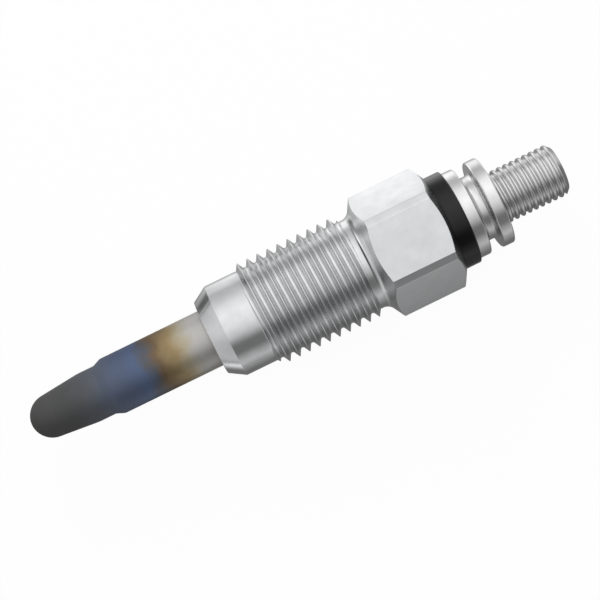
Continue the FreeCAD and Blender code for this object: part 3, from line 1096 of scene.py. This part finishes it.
# The sky's levels go by its lean in degrees, from the horizon on the +Y side to the one on the other
SKY = (
    (-90, 0.72),
    (-75, 0.8),
    (-64, 0.91),
    (-53, 1.04),
    (-43, 1.13),
    (-33, 1.22),
    (-23, 1.19),
    (-14, 1.19),
    (0, 1.15),
    (14, 0.91),
    (23, 0.72),
    (33, 0.42),
    (42, 0.21),
    (64, 0.22),
    (75, 0.44),
    (90, 0.67),
)
SIDE_SKY = ((-0.3, grey(0.8)), (0.3, grey(0.5)))
SIDE_SHARPNESS = 3
SKY_SPOTS = (
    (0.99, 0, 0.14, 0.5, -0.5),
    (0.76, 0.63, 0.14, 0.4, 0.5),
    (0.5, 0.8, 0.33, 0.4, 0.6),
    (-0.5, 0.8, 0.33, 0.4, 0.6),
    (-0.84, -0.44, 0.3, 0.35, 0.15),
)
PANEL_LEAN = -43
PANEL_EDGES = (44, 10)
PANEL_END = (-0.03, 0.05)
PANEL_LIFT = 0.33


def studio_sky():
    """A sky in bands along the plug, with the panel and spots. Straight ahead and behind, it fades
    into plain levels. The camera sees it white."""
    world = bpy.data.worlds.new("studio")
    world.use_nodes = True
    tree = world.node_tree
    tree.nodes.clear()
    output = tree.nodes.new("ShaderNodeOutputWorld")
    background = tree.nodes.new("ShaderNodeBackground")
    tree.links.new(background.outputs[0], output.inputs["Surface"])
    direction = tree.nodes.new("ShaderNodeTexCoord").outputs["Generated"]
    parts = split(tree, direction)
    sideways = math_node(tree, "MULTIPLY", parts["Y"], -1)
    lean = math_node(tree, "DEGREES", math_node(tree, "ARCTAN2", sideways, parts["Z"]))
    bands = ramp_colours(tree, lean, tuple((angle, grey(level)) for angle, level in SKY))
    off_panel = math_node(tree, "ABSOLUTE", math_node(tree, "SUBTRACT", lean, PANEL_LEAN))
    across_panel = map_range(tree, off_panel, *PANEL_EDGES, smooth=True)
    along_panel = map_range(tree, parts["X"], *PANEL_END, 0, PANEL_LIFT, smooth=True)
    panel = math_node(tree, "MULTIPLY", across_panel, along_panel)
    lifted = vector_node(tree, "ADD", bands, panel).outputs[0]
    endways = math_node(tree, "POWER", math_node(tree, "ABSOLUTE", parts["X"]), SIDE_SHARPNESS)
    side = ramp_colours(tree, parts["X"], SIDE_SKY)
    spots = spotted(tree, direction, SKY_SPOTS)
    sky = scaled(tree, mix_colours(tree, endways, lifted, side), spots)
    ray = tree.nodes.new("ShaderNodeLightPath")
    seen = mix_colours(tree, ray.outputs["Is Camera Ray"], sky, grey(1.0))
    tree.links.new(seen, background.inputs["Color"])
    return world


bpy.context.scene.world = studio_sky()

# The key lamp stands on the panel's side and lower than it. It lights what isn't metal and gives the
# floor its shadow
KEY_AIM = Vector((20, 5, 0)) * MM
KEY_PLACE = Vector((30, 265, 150)) * MM
KEY_SIZE = 120
KEY_POWER = 0.5
key = bpy.data.objects.new("key_lamp", bpy.data.lights.new("key_lamp", "AREA"))
bpy.context.scene.collection.objects.link(key)
key.data.shape = "DISK"
key.data.size = KEY_SIZE * MM
key.data.energy = KEY_POWER
key.location = KEY_PLACE
key.rotation_euler = (KEY_AIM - KEY_PLACE).to_track_quat("-Z", "Y").to_euler()
key.visible_camera = False
key.visible_glossy = False

# The camera looks almost straight down and is turned, so that the axis rises to the right
AXIS_RISE = math.radians(26.02)
CAMERA_PLACE = Vector((5.95, -0.53, 180.5)) * MM
VIEW_CENTRE = Vector((8.65, -0.53, 0)) * MM
CAMERA_LENS = 100.2
SENSOR_WIDTH = 36
CLIP_RANGE = (0.01, 10)
camera = bpy.data.objects.new("camera", bpy.data.cameras.new("camera"))
bpy.context.scene.collection.objects.link(camera)
camera.data.lens = CAMERA_LENS
camera.data.sensor_width = SENSOR_WIDTH
camera.data.clip_start, camera.data.clip_end = CLIP_RANGE
backward = (CAMERA_PLACE - VIEW_CENTRE).normalized()
right = Vector((math.sin(AXIS_RISE), math.cos(AXIS_RISE), 0)).cross(backward).normalized()
turned = Matrix((right, backward.cross(right), backward)).transposed().to_4x4()
camera.matrix_world = Matrix.Translation(CAMERA_PLACE) @ turned
bpy.context.scene.camera = camera
bpy.context.scene.view_settings.view_transform = "Standard"
